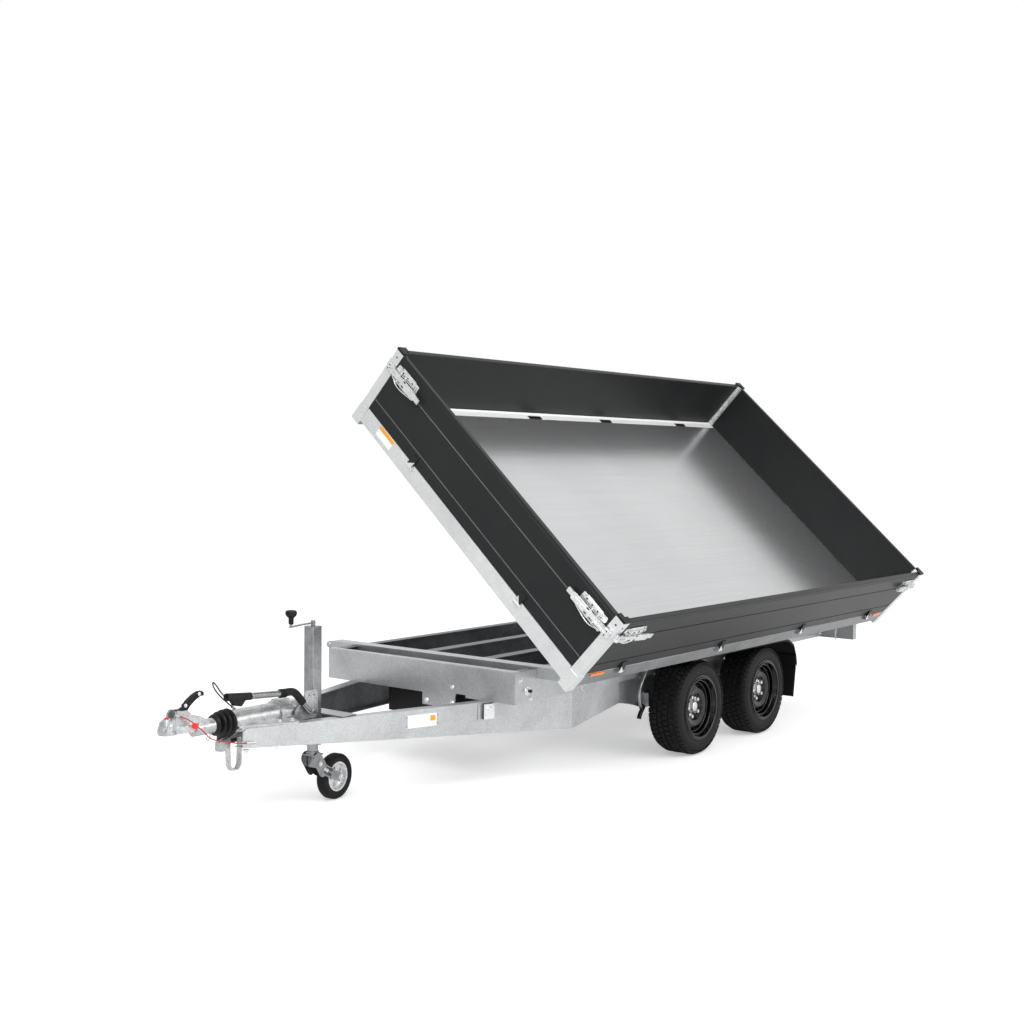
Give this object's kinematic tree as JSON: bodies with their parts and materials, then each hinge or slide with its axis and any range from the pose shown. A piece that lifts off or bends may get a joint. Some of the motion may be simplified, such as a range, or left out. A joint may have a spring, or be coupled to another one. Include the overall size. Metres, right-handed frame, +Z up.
{
  "type": "dump trailer",
  "caption": "Twin-axle dump trailer with a bed that tips to the side on a telescopic cylinder, folding side boards, V drawbar, overrun coupling and jack.",
  "frame": {"origin": "centre of the towing ball in the coupling's cup", "axes": "+X forward along the drawbar, +Y to the trailer's left, +Z up"},
  "size_m": [5.194, 2.1401, 2.1841],
  "materials": {
    "board_grey": "satin powder coat",
    "galvanised_bed": "hot-dip galvanised",
    "galvanised_chassis": "hot-dip galvanised",
    "floor_steel": "brushed",
    "black_plastic": "matt",
    "guard_plastic": "grained",
    "red_lens": "gloss",
    "cylinder_paint": "satin",
    "chrome_rod": "polished",
    "zinc_jack": "zinc plated",
    "cast_coupling": "galvanised",
    "black_rubber": "matt",
    "red_cable": "plastic coated",
    "tyre_rubber": "matt",
    "black_rim": "satin"
  },
  "bodies": {
    "chassis": {"chassis_rail_left": "galvanised_chassis", "chassis_rail_right": "galvanised_chassis", "front_plate": "galvanised_chassis", "front_tip_bar": "galvanised_chassis", "rear_tip_bar": "galvanised_chassis", "chassis_crossmembers": "galvanised_chassis", "cylinder_cradle": "galvanised_chassis", "drawbar_beam_left": "galvanised_chassis", "drawbar_beam_right": "galvanised_chassis", "light_bar": "galvanised_chassis", "rear_lamps": "red_lens", "mudguards": "guard_plastic", "mud_flaps": "guard_plastic", "axle_front": "galvanised_chassis", "axle_rear": "galvanised_chassis", "overrun_housing": "cast_coupling", "coupling_shaft": "cast_coupling", "overrun_boot": "black_rubber", "coupling_head": "cast_coupling", "coupling_handle": "black_plastic", "brake_lever": "zinc_jack", "brake_grip": "black_plastic", "jack_tube": "zinc_jack", "jack_crank": "zinc_jack", "crank_knob": "black_plastic", "pump_box": "guard_plastic", "breakaway_cable": "red_cable", "brake_cable": "black_rubber"},
    "bed": {"bed_floor": "floor_steel", "bed_rail_front": "galvanised_bed", "bed_rail_left": "galvanised_bed", "bed_rail_rear": "galvanised_bed", "bed_rail_right": "galvanised_bed", "corner_posts": "galvanised_bed", "post_caps": "black_plastic", "bed_beams": "galvanised_bed", "tip_sockets": "galvanised_bed", "cylinder_cup": "galvanised_bed"},
    "board_front": {"board_front": "board_grey"},
    "board_left": {"board_left": "board_grey"},
    "board_rear": {"board_rear": "board_grey"},
    "board_right": {"board_right": "board_grey"},
    "cylinder_barrel": {"cylinder_barrel": "cylinder_paint"},
    "cylinder_stage_1": {"cylinder_stage_1": "chrome_rod"},
    "cylinder_stage_2": {"cylinder_stage_2": "chrome_rod"},
    "cylinder_rod": {"cylinder_rod": "chrome_rod"},
    "jack_leg": {"jack_leg": "zinc_jack"},
    "jockey_fork": {"jockey_fork": "zinc_jack"},
    "jockey_wheel": {"jockey_tyre": "tyre_rubber", "jockey_rim": "zinc_jack"},
    "wheel_front_left": {"tyre_front_left": "tyre_rubber", "rim_front_left": "black_rim"},
    "wheel_front_right": {"tyre_front_right": "tyre_rubber", "rim_front_right": "black_rim"},
    "wheel_rear_left": {"tyre_rear_left": "tyre_rubber", "rim_rear_left": "black_rim"},
    "wheel_rear_right": {"tyre_rear_right": "tyre_rubber", "rim_rear_right": "black_rim"}
  },
  "joints": [
    {"name": "bed_tip", "type": "hinge", "parent": "chassis", "child": "bed", "pos_m": [-3.357, 0.834, 0.11], "axis": [1, 0, 0], "range_deg": [0, 42.93]},
    {"name": "board_front_drop", "type": "hinge", "parent": "bed", "child": "board_front", "pos_m": [-1.505, 0.33029, 0.79299], "axis": [0, 0.7322, -0.6811], "range_deg": [0, 140]},
    {"name": "board_left_drop", "type": "hinge", "parent": "bed", "child": "board_left", "pos_m": [-3.322, 1.02733, 0.14458], "axis": [-1, 0, 0], "range_deg": [0, 155]},
    {"name": "board_rear_drop", "type": "hinge", "parent": "bed", "child": "board_rear", "pos_m": [-5.139, 0.33029, 0.79299], "axis": [0, -0.7322, 0.6811], "range_deg": [0, 180]},
    {"name": "board_right_drop", "type": "hinge", "parent": "bed", "child": "board_right", "pos_m": [-3.322, -0.36675, 1.44141], "axis": [1, 0, 0], "range_deg": [0, 180]},
    {"name": "cylinder_swing", "type": "hinge", "parent": "chassis", "child": "cylinder_barrel", "pos_m": [-3.357, 0, 0.028], "axis": [1, 0, 0], "range_deg": [0, 21.36]},
    {"name": "cylinder_stage_1_slide", "type": "slide", "parent": "cylinder_barrel", "child": "cylinder_stage_1", "axis": [0, 0.3641, 0.9313], "range_m": [-0.19996, 0]},
    {"name": "cylinder_stage_2_slide", "type": "slide", "parent": "cylinder_stage_1", "child": "cylinder_stage_2", "axis": [0, 0.3641, 0.9313], "range_m": [-0.19996, 0]},
    {"name": "cylinder_rod_slide", "type": "slide", "parent": "cylinder_stage_2", "child": "cylinder_rod", "axis": [0, 0.3641, 0.9313], "range_m": [-0.19996, 0]},
    {"name": "wheel_front_left_spin", "type": "hinge", "parent": "chassis", "child": "wheel_front_left", "pos_m": [-2.976, 0.7505, -0.2095], "axis": [0, 1, 0], "continuous": true},
    {"name": "wheel_front_right_spin", "type": "hinge", "parent": "chassis", "child": "wheel_front_right", "pos_m": [-2.976, -0.7505, -0.2095], "axis": [0, 1, 0], "continuous": true},
    {"name": "wheel_rear_left_spin", "type": "hinge", "parent": "chassis", "child": "wheel_rear_left", "pos_m": [-3.738, 0.7505, -0.2095], "axis": [0, 1, 0], "continuous": true},
    {"name": "wheel_rear_right_spin", "type": "hinge", "parent": "chassis", "child": "wheel_rear_right", "pos_m": [-3.738, -0.7505, -0.2095], "axis": [0, 1, 0], "continuous": true},
    {"name": "jack_slide", "type": "slide", "parent": "chassis", "child": "jack_leg", "axis": [0, 0, 1], "range_m": [-0.2, 0.02]},
    {"name": "jockey_swivel", "type": "hinge", "parent": "jack_leg", "child": "jockey_fork", "pos_m": [-0.834, 0, -0.222], "axis": [0, 0, 1], "continuous": true},
    {"name": "jockey_spin", "type": "hinge", "parent": "jockey_fork", "child": "jockey_wheel", "pos_m": [-0.997, -0.018, -0.364], "axis": [-0.1098, 0.994, 0], "continuous": true}
  ],
  "couplings": [
    {"joint": "cylinder_swing", "follows": "bed_tip", "ratio": 0.49743},
    {"joint": "cylinder_stage_1_slide", "follows": "bed_tip", "m_per_rad": -0.26661},
    {"joint": "cylinder_stage_2_slide", "follows": "bed_tip", "m_per_rad": -0.26661},
    {"joint": "cylinder_rod_slide", "follows": "bed_tip", "m_per_rad": -0.26661}
  ]
}
